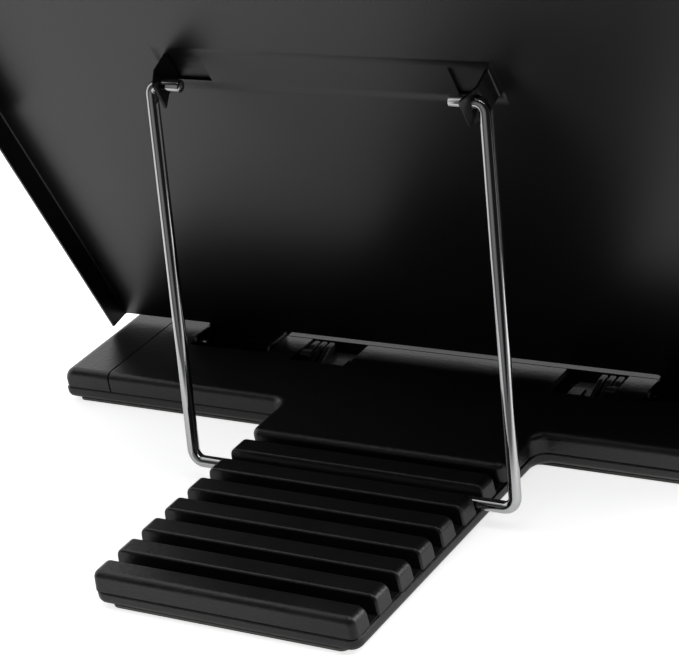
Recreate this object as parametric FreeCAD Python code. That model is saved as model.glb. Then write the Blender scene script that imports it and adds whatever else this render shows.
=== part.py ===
import FreeCAD, Part
import math
import os

# Copy holder with line guide.
#
# A steel copy plate leans back on a wire bail.  The foot of the bail drops into one of the grooves
# of a ribbed tail, so the plate can be set at several slopes.  A line guide rides on the folded
# sides of the plate.  The plate turns on two pairs of pivots in a hollow two-piece base.
#
# Frame: +X to the user's right, -Y to the front (where the sheet is read), +Z up.
# Origin: on the table, under the middle of the holder.  Millimetres.

Vector = FreeCAD.Vector
X_AXIS = Vector(1, 0, 0)
Y_AXIS = Vector(0, 1, 0)
Z_AXIS = Vector(0, 0, 1)
ORIGIN = Vector(0, 0, 0)

# ---- driving dimensions: base ----
BASE_HALF_WIDTH = 143.7
BASE_FRONT_Y = -89.8
CROSSBAR_REAR_Y = -21.3
TAIL_REAR_Y = 89.8
TAIL_HALF_WIDTH = 47.8
COVER_INSET = 0.3
TAIL_COVER_HALF_WIDTH = TAIL_HALF_WIDTH - COVER_INSET
COVER_REAR_Y = TAIL_REAR_Y - COVER_INSET
WALL = 2.0
PAD_THICKNESS = 1.1
PAD_REAR_INSET = 1.2
PAD_SIDE_INSET = 5.0
SHELL_BOTTOM_Z = 1.1
PARTING_Z = 5.35
PARTING_GROOVE = 0.3
PARTING_GROOVE_DEPTH = 0.6
COVER_TOP_Z = 12.6
INSIDE_CORNER_RADIUS = 5.0
CROSSBAR_CORNER_RADIUS = 2.6
TAIL_CORNER_RADIUS = 4.0
TOP_EDGE_RADIUS = 2.6
END_TOP_RADIUS = 4.8
SHELL_BOTTOM_RADIUS = 2.4
SEAM_GAP = 0.4
END_CAP_GAP = 0.6
END_CAP_SEAM_X = 123.0
LEDGE_HALF_WIDTH = 72.4
LEDGE_SEAM_Y = -62.3
LIP_TOP_Z = 20.5
LIP_THICKNESS = 3.0

# ---- driving dimensions: ribbed tail ----
RIB_COUNT = 7
RIB_PITCH = 12.7
RIB_BASE_LENGTH = 8.24
RIB_TOP_LENGTH = 7.4
RIB_TOP_Z = 12.4
RIB_END_DRAFT = 0.35
RIB_END_RADIUS = 2.6
RIB_EDGE_RADIUS = 0.9
RIB_ROW_REAR_Y = 89.0
GROOVE_FLOOR_Z = 5.8
DECK_BOTTOM_Z = 4.6
FOOT_GROOVE = 5

# ---- driving dimensions: copy plate ----
SHEET = 0.8
PLATE_TILT = 22.2
PLATE_HALF_WIDTH = 143.8
PLATE_HEIGHT = 240.0
PLATE_EDGE_Y = -61.63
PLATE_EDGE_Z = 14.75
FLANGE_DEPTH = 8.0
TAB_INNER_X = 73.1
TAB_OUTER_X = 105.4
TAB_DROP = 5.7
TAB_ROOT_RADIUS = 1.3
HINGE_OFFSET = 8.4
HINGE_S = -0.6
EAR_RADIUS = 3.0
WINDOW_INNER_X = 44.8
WINDOW_OUTER_X = 58.4
WINDOW_LOW_S = 123.9
WINDOW_HIGH_S = 134.8
CHANNEL_HALF_WIDTH = 61.5
CHANNEL_LOW_S = 120.6
CHANNEL_HIGH_S = 138.9
CHANNEL_DEPTH = 0.8
CHANNEL_RAMP = 1.6
BRACKET_BEND_B = 6.3
BRACKET_TIP_B = 13.1
BRACKET_TIP_X = 55.1

# ---- driving dimensions: bail ----
WIRE_RADIUS = 2.0
PIVOT_OFFSET = 8.42
PIVOT_S = 130.5
BAIL_HALF_WIDTH = 60.2
BAIL_END_X = 48.8
BAIL_TOP_BEND = 2.9
BAIL_FOOT_BEND = 4.0

# ---- driving dimensions: pivots and release slides ----
PIN_RADIUS = 1.0
RUNNING_CLEARANCE = 0.05
RECESS_INNER_X = 72.5
RECESS_OUTER_X = 105.7
RECESS_REAR_Y = -48.8
RECESS_FRONT_Y = -65.4
SKIRT_BOTTOM_Z = 3.6
POCKET_INNER_X = 38.7
POCKET_OUTER_X = 61.6
POCKET_REAR_Y = -46.9
SLIDE_Z = 7.6
SLIDE_TRAVEL = 4.0

# ---- driving dimensions: line guide ----
GUIDE_LOW_S = 119.0
GUIDE_HIGH_S = 137.0
GUIDE_BACK_B = -1.9
GUIDE_FRONT_B = -5.6
GUIDE_HALF_LENGTH = 131.8
LENS_LOW_S = 97.0
LENS_THICKNESS = 1.2
CARRIAGE_LOW_S = 100.0
CARRIAGE_HIGH_S = 136.0
CARRIAGE_OUTER_X = 147.6

# ---- driving dimensions: screws ----
BOSS_RADIUS = 3.2
RIB_BOSS_RADIUS = 2.9
PILLAR_RADIUS = 4.2
PILLAR_TOP_Z = 4.6
SCREW_HEAD_RADIUS = 2.5
SCREW_HEAD_BOTTOM_Z = 2.1
SCREW_HEAD_TOP_Z = 3.6
SCREW_SHANK_RADIUS = 1.4
SCREW_TIP_Z = 9.6
PILOT_RADIUS = 1.45


# ---------------------------------------------------------------- small tools
def box(x0, x1, y0, y1, z0, z1):
    return Part.makeBox(x1 - x0, y1 - y0, z1 - z0, Vector(x0, y0, z0))


def rod_x(x0, x1, y, z, radius):
    return Part.makeCylinder(radius, x1 - x0, Vector(x0, y, z), X_AXIS)


def rod_y(y0, y1, x, z, radius):
    return Part.makeCylinder(radius, y1 - y0, Vector(x, y0, z), Y_AXIS)


def rod_z(x, y, z0, z1, radius):
    return Part.makeCylinder(radius, z1 - z0, Vector(x, y, z0), Z_AXIS)


def prism(points, direction):
    """Extrude the closed polygon through points along direction."""
    outline = Part.makePolygon(points + [points[0]])
    return Part.Face(outline).extrude(direction)


def prism_x(points_yz, x0, x1):
    return prism([Vector(x0, y, z) for y, z in points_yz], Vector(x1 - x0, 0, 0))


def mirror(shape):
    return shape.mirror(ORIGIN, X_AXIS)


def both_sides(shape):
    return [shape, mirror(shape)]


def fuse(shapes):
    return shapes[0].fuse(shapes[1:]).removeSplitter()


def cut(shape, tools):
    for tool in tools:
        shape = shape.cut(tool)
    return shape.removeSplitter()


def straight_edges(shape, axis):
    """Edges of shape that run along axis."""
    found = []
    for edge in shape.Edges:
        if isinstance(edge.Curve, Part.Line) and abs(edge.Curve.Direction.dot(axis)) > 0.9999:
            found.append(edge)
    return found


def edges_at_height(shape, z):
    """Edges that lie wholly in the level plane at z."""
    found = []
    for edge in shape.Edges:
        bounds = edge.BoundBox
        if abs(bounds.ZMin - z) < 1e-4 and abs(bounds.ZMax - z) < 1e-4:
            found.append(edge)
    return found


def on_plate(shape):
    """Bring a shape from the plate's own frame to its place.

    In the plate's frame X runs across, Y points out of the plate's back face, and Z runs up the
    plate from its lower edge.
    """
    placed = shape.copy()
    placed.rotate(ORIGIN, X_AXIS, -PLATE_TILT)
    placed.translate(Vector(0, PLATE_EDGE_Y, PLATE_EDGE_Z))
    return placed


def plate_point(offset, height):
    """Y and Z of a point given in the plate's own frame."""
    tilt = math.radians(PLATE_TILT)
    y = PLATE_EDGE_Y + offset * math.cos(tilt) + height * math.sin(tilt)
    z = PLATE_EDGE_Z - offset * math.sin(tilt) + height * math.cos(tilt)
    return y, z


HINGE_Y, HINGE_Z = plate_point(HINGE_OFFSET, HINGE_S)
PIVOT_Y, PIVOT_Z = plate_point(PIVOT_OFFSET, PIVOT_S)


# ---------------------------------------------------------------- base outline
def sharp_t(inset, side_inset, z0, z1, tail_end_y):
    """T-shaped block: the crossbar and the tail, set in from the outline, with sharp corners."""
    half_bar = BASE_HALF_WIDTH - side_inset
    half_tail = TAIL_HALF_WIDTH - side_inset
    rear = CROSSBAR_REAR_Y - inset
    crossbar = box(-half_bar, half_bar, BASE_FRONT_Y + inset, rear, z0, z1)
    tail = box(-half_tail, half_tail, rear - 10, tail_end_y - inset, z0, z1)
    return fuse([crossbar, tail])


def uprights_at_ends(block):
    """Upright edges at the two ends of the crossbar."""
    reach = block.BoundBox.XMax
    return [e for e in straight_edges(block, Z_AXIS) if abs(e.Vertexes[0].X) > reach - 0.01]


def uprights_at_tail(block):
    """Upright edges at the rear end of the tail."""
    reach = block.BoundBox.YMax
    return [e for e in straight_edges(block, Z_AXIS) if e.Vertexes[0].Y > reach - 0.01]


def uprights_inside(block):
    """Upright edges of the two inside corners of the T."""
    half = block.BoundBox.XMax - 1
    reach = block.BoundBox.YMax - 1
    found = []
    for edge in straight_edges(block, Z_AXIS):
        corner = edge.Vertexes[0].Point
        if abs(corner.x) < half and BASE_FRONT_Y + 20 < corner.y < reach:
            found.append(edge)
    return found


def t_block(inset, z0, z1, tail_end_y=TAIL_REAR_Y, side_inset=None):
    """T-shaped block with rounded corners, set in from the outline by inset."""
    block = sharp_t(inset, inset if side_inset is None else side_inset, z0, z1, tail_end_y)
    block = block.makeFillet(INSIDE_CORNER_RADIUS + inset, uprights_inside(block))
    block = block.makeFillet(max(CROSSBAR_CORNER_RADIUS - inset, 0.8), uprights_at_ends(block))
    return block.makeFillet(max(TAIL_CORNER_RADIUS - inset, 0.8), uprights_at_tail(block))


def rib_rear_y(index):
    return RIB_ROW_REAR_Y - RIB_PITCH * index


def rib_middle_y(index):
    return rib_rear_y(index) - RIB_BASE_LENGTH / 2


COVER_SCREW_PLACES = [
    (30.0, rib_middle_y(1)), (30.0, rib_middle_y(4)), (34.0, -12.0), (95.0, -32.0), (115.0, -78.0),
]
END_CAP_SCREW_PLACES = [(132.0, -33.0), (132.0, -78.0)]
LEDGE_SCREW_PLACES = [(35.0, -76.0)]
ALL_SCREW_PLACES = COVER_SCREW_PLACES + END_CAP_SCREW_PLACES + LEDGE_SCREW_PLACES


def mirrored(places):
    return places + [(-x, y) for x, y in places]


# ---------------------------------------------------------------- lower half of the base
def slide_supports():
    """Two rails that carry a release slide and the post its spring pushes against."""
    front_rail = box(40.0, 60.5, -61.6, -60.2, SHELL_BOTTOM_Z + WALL, SLIDE_Z - 0.1)
    rear_rail = box(40.0, 60.5, -47.8, -46.4, SHELL_BOTTOM_Z + WALL, SLIDE_Z - 0.1)
    post = box(43.6, 45.0, HINGE_Y - 2, HINGE_Y + 2, SHELL_BOTTOM_Z + WALL, SLIDE_Z - 0.2)
    return [front_rail, rear_rail, post]


def make_base_shell():
    outer = t_block(0, SHELL_BOTTOM_Z, PARTING_Z)
    outer = outer.makeFillet(SHELL_BOTTOM_RADIUS, edges_at_height(outer, SHELL_BOTTOM_Z))
    outer = outer.makeChamfer(0.35, edges_at_height(outer, PARTING_Z))
    tray = t_block(WALL, SHELL_BOTTOM_Z + WALL, PARTING_Z + 1)
    shell = cut(outer, [tray])
    floor_z = SHELL_BOTTOM_Z + WALL - 0.5
    places = mirrored(ALL_SCREW_PLACES)
    pillars = [rod_z(x, y, floor_z, PILLAR_TOP_Z, PILLAR_RADIUS) for x, y in places]
    supports = []
    for piece in slide_supports():
        supports += both_sides(piece)
    shell = fuse([shell] + pillars + supports).common(t_block(0, SHELL_BOTTOM_Z, SLIDE_Z))
    holes = []
    for x, y in places:
        holes.append(rod_z(x, y, 0, SCREW_HEAD_TOP_Z, SCREW_HEAD_RADIUS + 0.3))
        holes.append(rod_z(x, y, 0, PARTING_Z, SCREW_SHANK_RADIUS + 0.2))
    return cut(shell, holes)


def make_base_pad():
    pad = t_block(PAD_REAR_INSET, 0, PAD_THICKNESS, side_inset=PAD_SIDE_INSET)
    return pad.makeFillet(0.4, edges_at_height(pad, 0))


def make_screws(places):
    screws = []
    for x, y in mirrored(places):
        head = rod_z(x, y, SCREW_HEAD_BOTTOM_Z, SCREW_HEAD_TOP_Z, SCREW_HEAD_RADIUS)
        head = head.makeFillet(0.5, edges_at_height(head, SCREW_HEAD_BOTTOM_Z))
        slot_low = SCREW_HEAD_BOTTOM_Z - 0.1
        slot_high = SCREW_HEAD_BOTTOM_Z + 0.8
        slot_long = box(x - 1.5, x + 1.5, y - 0.3, y + 0.3, slot_low, slot_high)
        slot_cross = box(x - 0.3, x + 0.3, y - 1.5, y + 1.5, slot_low, slot_high)
        shank = rod_z(x, y, SCREW_HEAD_TOP_Z, SCREW_TIP_Z - 1, SCREW_SHANK_RADIUS)
        tip = Part.makeCone(SCREW_SHANK_RADIUS, 0.4, 1, Vector(x, y, SCREW_TIP_Z - 1), Z_AXIS)
        screws.append(cut(fuse([head, shank, tip]), [slot_long, slot_cross]))
    return Part.makeCompound(screws)


# ---------------------------------------------------------------- upper half of the base
def make_upper_block():
    """The whole top of the base as one block: crossbar, tail plateau and front lip."""
    plateau_rear = rib_rear_y(RIB_COUNT) + COVER_INSET
    low = PARTING_Z + PARTING_GROOVE
    block = sharp_t(COVER_INSET, COVER_INSET, low, COVER_TOP_Z, plateau_rear)
    reach = block.BoundBox.XMax
    end_tops = [
        e for e in straight_edges(block, Y_AXIS)
        if e.Vertexes[0].Z > COVER_TOP_Z - 0.01 and abs(e.Vertexes[0].X) > reach - 0.01
    ]
    block = block.makeFillet(END_TOP_RADIUS, end_tops)
    block = block.makeFillet(INSIDE_CORNER_RADIUS + COVER_INSET, uprights_inside(block))
    block = block.makeFillet(TOP_EDGE_RADIUS + 0.4, uprights_at_tail(block))
    top_face = max(block.Faces, key=lambda face: face.BoundBox.ZMin)
    end_flat = reach - END_TOP_RADIUS - 0.01
    rims = [e for e in top_face.Edges if abs(e.CenterOfMass.x) < end_flat]
    block = block.makeFillet(TOP_EDGE_RADIUS, rims)
    skirt = t_block(COVER_INSET + PARTING_GROOVE_DEPTH, PARTING_Z, low + 0.2, plateau_rear)
    half_lip = BASE_HALF_WIDTH - END_TOP_RADIUS - 0.8
    front = BASE_FRONT_Y + COVER_INSET
    lip = box(-half_lip, half_lip, front, front + LIP_THICKNESS, low, LIP_TOP_Z)
    upright = [e for e in straight_edges(lip, Z_AXIS) if e.Vertexes[0].Y < front + 0.01]
    lip = lip.makeFillet(1.6, upright)
    lip = lip.makeFillet(1.2, edges_at_height(lip, LIP_TOP_Z))
    return fuse([block, skirt, lip])


def make_upper_cavity():
    front = BASE_FRONT_Y + COVER_INSET + LIP_THICKNESS
    half = BASE_HALF_WIDTH - WALL - 1.6
    rear = CROSSBAR_REAR_Y - COVER_INSET - WALL
    crossbar = box(-half, half, front, rear, PARTING_Z - 1, COVER_TOP_Z - WALL)
    half_tail = TAIL_COVER_HALF_WIDTH - WALL
    plateau_rear = rib_rear_y(RIB_COUNT) - WALL
    plateau = box(
        -half_tail, half_tail, rear - 10, plateau_rear, PARTING_Z - 1, COVER_TOP_Z - WALL
    )
    return fuse([crossbar, plateau])


def edges_at_rib_corners(rib, rear_side):
    """Nearly upright edges at the front or rear corners of a rib."""
    middle = (rib.BoundBox.YMin + rib.BoundBox.YMax) / 2
    found = []
    for edge in rib.Edges:
        bounds = edge.BoundBox
        tall = bounds.ZMax - bounds.ZMin > 3 and bounds.XMax - bounds.XMin < 1
        if tall and (bounds.YMin > middle) == rear_side:
            found.append(edge)
    return found


def make_rib(index):
    """One rib of the tail: drafted, with well rounded ends and finer edges along the grooves.

    The last rib ends the tail, so its rear edge is as well rounded as the ends.
    """
    low = PARTING_Z + PARTING_GROOVE
    rear = COVER_REAR_Y if index == 0 else rib_rear_y(index)
    front = rib_rear_y(index) - RIB_BASE_LENGTH
    draft = (RIB_BASE_LENGTH - RIB_TOP_LENGTH) / 2
    half = TAIL_COVER_HALF_WIDTH
    half_top = half - RIB_END_DRAFT
    across = prism(
        [
            Vector(-half, front, low), Vector(half, front, low),
            Vector(half_top, front, RIB_TOP_Z), Vector(-half_top, front, RIB_TOP_Z),
        ],
        Vector(0, rear - front, 0),
    )
    end_tops = [e for e in straight_edges(across, Y_AXIS) if e.Vertexes[0].Z > RIB_TOP_Z - 0.01]
    across = across.makeFillet(RIB_END_RADIUS, end_tops)
    profile = [(rear, low), (rear - draft, RIB_TOP_Z), (front + draft, RIB_TOP_Z), (front, low)]
    rib = across.common(prism_x(profile, -half, half))
    rear_radius = RIB_END_RADIUS - 0.2 if index == 0 else RIB_EDGE_RADIUS
    rib = rib.makeFillet(rear_radius, edges_at_rib_corners(rib, True))
    return rib.makeFillet(RIB_EDGE_RADIUS, edges_at_rib_corners(rib, False))


def make_rib_core(index):
    """The hollow under one rib."""
    rear = rib_rear_y(index) - 1.7
    front = rib_rear_y(index) - RIB_BASE_LENGTH + 1.7
    half = TAIL_COVER_HALF_WIDTH - 2.6
    return box(-half, half, front, rear, DECK_BOTTOM_Z - 1, RIB_TOP_Z - 1.7)


def make_tail_deck():
    """The thin floor that joins the ribs, with a lip that rests on the lower half's rim."""
    half = TAIL_COVER_HALF_WIDTH - PARTING_GROOVE_DEPTH
    rear = COVER_REAR_Y - PARTING_GROOVE_DEPTH
    plateau_rear = rib_rear_y(RIB_COUNT)
    top = box(-half, half, plateau_rear - 4, rear, PARTING_Z, GROOVE_FLOOR_Z)
    corners = [e for e in straight_edges(top, Z_AXIS) if e.Vertexes[0].Y > rear - 0.01]
    top = top.makeFillet(TAIL_CORNER_RADIUS - PARTING_GROOVE_DEPTH, corners)
    inner = TAIL_HALF_WIDTH - WALL - 0.3
    inner_rear = TAIL_REAR_Y - WALL - 0.3
    underside = box(-inner, inner, plateau_rear - 4, inner_rear, DECK_BOTTOM_Z, PARTING_Z)
    underside = underside.makeFillet(TAIL_CORNER_RADIUS - WALL, uprights_at_tail(underside))
    return fuse([top, underside])


def hinge_recess_walls():
    """The well that one hinge tab of the plate drops into, as its walls and its hollow."""
    walls = box(
        RECESS_INNER_X - WALL, RECESS_OUTER_X + WALL, RECESS_FRONT_Y - WALL, RECESS_REAR_Y + WALL,
        SKIRT_BOTTOM_Z, COVER_TOP_Z - 1,
    )
    hollow = box(RECESS_INNER_X, RECESS_OUTER_X, RECESS_FRONT_Y, RECESS_REAR_Y, 0, COVER_TOP_Z + 5)
    return walls, hollow


def make_base_cover(block, cavity):
    """Ribbed tail, plateau and crossbar, with the wells, pockets and screw bosses."""
    ribs = [make_rib(index) for index in range(RIB_COUNT)]
    body = fuse([block] + ribs + [make_tail_deck()])
    cores = [make_rib_core(index) for index in range(RIB_COUNT)]
    body = cut(body, [cavity] + cores)
    bosses = []
    for x, y in mirrored(COVER_SCREW_PLACES):
        if y > 0:
            bosses.append(rod_z(x, y, PILLAR_TOP_Z, RIB_TOP_Z - 1.2, RIB_BOSS_RADIUS))
        else:
            bosses.append(rod_z(x, y, PILLAR_TOP_Z, COVER_TOP_Z - WALL + 0.3, BOSS_RADIUS))
    walls, hollow = hinge_recess_walls()
    under_top = COVER_TOP_Z - 1
    pivot_boss = box(RECESS_OUTER_X + 1, 112.5, HINGE_Y - 3.6, HINGE_Y + 3.6, 6.0, under_top)
    slide_stop = box(61.9, 63.9, -61.5, -45.0, SKIRT_BOTTOM_Z, under_top)
    front_wall = box(
        -LEDGE_HALF_WIDTH, LEDGE_HALF_WIDTH, LEDGE_SEAM_Y, LEDGE_SEAM_Y + 1.6, 6.0, under_top
    )
    side_extras = both_sides(walls) + both_sides(pivot_boss) + both_sides(slide_stop)
    body = fuse([body, front_wall] + side_extras + bosses)
    pocket = box(
        POCKET_INNER_X, POCKET_OUTER_X, LEDGE_SEAM_Y - 1, POCKET_REAR_Y, 0, COVER_TOP_Z + 5
    )
    bore_radius = PIN_RADIUS + RUNNING_CLEARANCE
    pin_bore = rod_x(POCKET_OUTER_X - 1, RECESS_INNER_X + 1, HINGE_Y, HINGE_Z, bore_radius)
    stub_bore = rod_x(RECESS_OUTER_X - 1, 111.5, HINGE_Y, HINGE_Z, PIN_RADIUS)
    tools = both_sides(hollow) + both_sides(pocket) + both_sides(pin_bore) + both_sides(stub_bore)
    for x, y in mirrored(COVER_SCREW_PLACES):
        tools.append(rod_z(x, y, 0, SCREW_TIP_Z + 0.3, PILOT_RADIUS))
    body = cut(body, tools)
    ahead = BASE_FRONT_Y - 1
    above = LIP_TOP_Z + 1
    half_ledge = LEDGE_HALF_WIDTH + SEAM_GAP
    ledge_space = box(-half_ledge, half_ledge, ahead, LEDGE_SEAM_Y, 0, above)
    cap_inner = END_CAP_SEAM_X - END_CAP_GAP / 2
    end_space = box(cap_inner, BASE_HALF_WIDTH + 1, ahead, 0, 0, above)
    return cut(body, [ledge_space] + both_sides(end_space))


def bossed(shell, places):
    """Add screw bosses with pilot holes under a cover piece."""
    under_top = COVER_TOP_Z - WALL + 0.3
    bosses = [rod_z(x, y, PILLAR_TOP_Z, under_top, BOSS_RADIUS) for x, y in places]
    holes = [rod_z(x, y, 0, SCREW_TIP_Z + 0.3, PILOT_RADIUS) for x, y in places]
    return cut(fuse([shell] + bosses), holes)


def make_right_end_cap(block, cavity):
    inner = END_CAP_SEAM_X + END_CAP_GAP / 2
    space = box(inner, BASE_HALF_WIDTH + 1, BASE_FRONT_Y - 1, 0, 0, LIP_TOP_Z + 1)
    shell = cut(block, [cavity]).common(space)
    web = box(inner, inner + 1.4, BASE_FRONT_Y + 2, CROSSBAR_REAR_Y - 1.3, 6.5, 11.5)
    return bossed(fuse([shell, web]), END_CAP_SCREW_PLACES)


def make_document_ledge(block, cavity):
    half = LEDGE_HALF_WIDTH
    rear = LEDGE_SEAM_Y - SEAM_GAP
    space = box(-half, half, BASE_FRONT_Y - 1, rear, 0, LIP_TOP_Z + 1)
    shell = cut(block, [cavity]).common(space)
    rear_wall = box(-half, half, rear - 1.6, rear, 6.0, 11.5)
    side_wall = box(half - 1.6, half, BASE_FRONT_Y + 2, rear - 0.8, 6.0, 11.5)
    return bossed(fuse([shell, rear_wall] + both_sides(side_wall)), mirrored(LEDGE_SCREW_PLACES))


# ---------------------------------------------------------------- pivots and release slides
def domed_pin(x0, x1, radius):
    """A pin along X at the hinge axis with rounded ends."""
    pin = rod_x(x0, x1, HINGE_Y, HINGE_Z, radius)
    rims = [e for e in pin.Edges if isinstance(e.Curve, Part.Circle)]
    return pin.makeFillet(radius * 0.6, rims)


def make_right_pivot_stub():
    return domed_pin(101.6, 111.4, PIN_RADIUS)


def make_right_release_pin():
    return domed_pin(57.6, 75.6, PIN_RADIUS)


def make_grip_ridge(middle):
    """One grip ridge of a release slide: level at the front, then falling to the platform."""
    profile = [
        (-61.5, SLIDE_Z), (-61.5, COVER_TOP_Z - 0.1), (-58.4, COVER_TOP_Z - 0.1),
        (-49.6, SLIDE_Z + 1.6), (-49.6, SLIDE_Z),
    ]
    ridge = prism_x(profile, middle - 1.05, middle + 1.05)
    brow = [
        e for e in straight_edges(ridge, X_AXIS)
        if e.Vertexes[0].Z > COVER_TOP_Z - 0.2 and e.Vertexes[0].Y > -60
    ]
    ridge = ridge.makeFillet(3.0, brow)
    sides = [
        e for e in ridge.Edges
        if e.BoundBox.ZMax > COVER_TOP_Z - 0.2 and e.BoundBox.XLength < 0.01 and e.BoundBox.YLength > 0.5
    ]
    return ridge.makeFillet(0.45, sides)


def make_right_release_slide():
    """Thumb slide with three grip ridges.  It carries the inner hinge pin."""
    platform = box(43.0, 61.2, -61.9, -45.6, SLIDE_Z, SLIDE_Z + 1.1)
    guide_rib = box(43.0, 61.2, -46.7, -45.6, SLIDE_Z, COVER_TOP_Z - WALL - 0.2)
    pin_block = box(57.2, 61.2, HINGE_Y - 1.9, HINGE_Y + 1.9, SLIDE_Z, COVER_TOP_Z - 0.15)
    shoulders = [e for e in straight_edges(pin_block, X_AXIS) if e.Vertexes[0].Z > COVER_TOP_Z - 1]
    pin_block = pin_block.makeFillet(1.2, shoulders)
    lug = box(57.5, 60.4, HINGE_Y - 2, HINGE_Y + 2, 3.9, SLIDE_Z + 0.5)
    stop_pad = box(43.4, 48.2, -56.5, -52.0, SLIDE_Z, SLIDE_Z + 1.9)
    ridges = [make_grip_ridge(middle) for middle in (53.0, 56.1, 59.2)]
    slide = fuse([platform, guide_rib, pin_block, lug, stop_pad] + ridges)
    return cut(slide, [rod_x(57.6, 62.0, HINGE_Y, HINGE_Z, PIN_RADIUS)])


def make_right_release_spring():
    """Coil spring under the slide, between the post and the lug."""
    x0 = 45.25
    length = 12.0
    coil_radius = 1.45
    wire_radius = 0.22
    pitch = length / 8
    helix = Part.makeHelix(pitch, length - 2 * wire_radius, coil_radius)
    section = Part.Wire(Part.makeCircle(wire_radius, Vector(coil_radius, 0, 0), Y_AXIS))
    coil = Part.Wire(helix).makePipeShell([section], True, True)
    coil.rotate(ORIGIN, Y_AXIS, 90)
    coil.translate(Vector(x0 + wire_radius, HINGE_Y, 5.6))
    return coil


# ---------------------------------------------------------------- copy plate
def make_bracket_tab():
    """Tab folded out of the right window, then bent inwards along its free half."""
    low = WINDOW_LOW_S + 0.2
    high = WINDOW_HIGH_S - 0.1
    root = -CHANNEL_DEPTH - SHEET
    x = WINDOW_OUTER_X
    run = Vector(BRACKET_TIP_X - x, BRACKET_TIP_B - BRACKET_BEND_B, 0).normalize()
    inner_tip = Vector(BRACKET_TIP_X - SHEET * run.y, BRACKET_TIP_B + SHEET * run.x, low)
    inner_bend_b = inner_tip.y - (inner_tip.x - x + SHEET) / run.x * run.y
    outer_tip = Vector(BRACKET_TIP_X, BRACKET_TIP_B, low)
    outline = [
        Vector(x, root, low), Vector(x, BRACKET_BEND_B, low), outer_tip,
        inner_tip, Vector(x - SHEET, inner_bend_b, low), Vector(x - SHEET, root, low),
    ]
    tab = prism(outline, Vector(0, 0, high - low))
    tip = [
        e for e in tab.Edges
        if e.BoundBox.ZMin > high - 0.01 and e.BoundBox.YMin > inner_tip.y - 0.01
    ]
    tab = tab.makeFillet(1.0, tip)
    fold = [
        e for e in straight_edges(tab, Z_AXIS)
        if abs(e.Vertexes[0].Y - root) < 0.01 and e.Vertexes[0].X < x - 0.5
    ]
    tab = tab.makeFillet(0.7, fold)
    lower_trim = prism_x(
        [(BRACKET_BEND_B, low - 1), (BRACKET_BEND_B, low), (BRACKET_TIP_B + 1, low + 0.9),
         (BRACKET_TIP_B + 1, low - 1)],
        x - 10, x + 1,
    )
    return cut(tab, [lower_trim])


def make_hinge_ear():
    """Ear folded back from the inner side of the right hinge tab."""
    x0 = TAB_INNER_X
    outline = [
        Vector(x0, -0.4, -TAB_DROP), Vector(x0, HINGE_OFFSET - 0.4, HINGE_S - EAR_RADIUS),
        Vector(x0, HINGE_OFFSET, HINGE_S), Vector(x0, HINGE_OFFSET - 1.2, HINGE_S + EAR_RADIUS - 0.25),
        Vector(x0, 1.4, -0.5), Vector(x0, -0.4, -0.5),
    ]
    leaf = prism(outline, Vector(SHEET, 0, 0))
    eye = rod_x(x0, x0 + SHEET, HINGE_OFFSET, HINGE_S, EAR_RADIUS)
    return fuse([leaf, eye])


def make_tab_root():
    """Rounded corner between the plate's lower edge and the inner side of the right hinge tab."""
    middle = TAB_INNER_X - TAB_ROOT_RADIUS
    web = box(middle, TAB_INNER_X + 0.3, -SHEET, 0, -TAB_ROOT_RADIUS, 0.2)
    bite = Part.makeCylinder(
        TAB_ROOT_RADIUS, 2 * SHEET, Vector(middle, -1.5 * SHEET, -TAB_ROOT_RADIUS), Y_AXIS
    )
    return cut(web, [bite])


def make_channel():
    """Shallow stiffening channel pressed towards the front, as what it adds and what it takes."""
    def frustum(back, front, grow):
        half = CHANNEL_HALF_WIDTH + grow
        low = CHANNEL_LOW_S - grow
        high = CHANNEL_HIGH_S + grow
        rings = []
        for y, inset in ((back, 0.0), (front, CHANNEL_RAMP)):
            corners = [
                Vector(-half + inset, y, low + inset), Vector(half - inset, y, low + inset),
                Vector(half - inset, y, high - inset), Vector(-half + inset, y, high - inset),
            ]
            rings.append(Part.makePolygon(corners + [corners[0]]))
        return Part.makeLoft(rings, True)
    added = frustum(-SHEET, -SHEET - CHANNEL_DEPTH, 0.3)
    taken = frustum(0.0, -CHANNEL_DEPTH, 0.0)
    return added, taken


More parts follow.
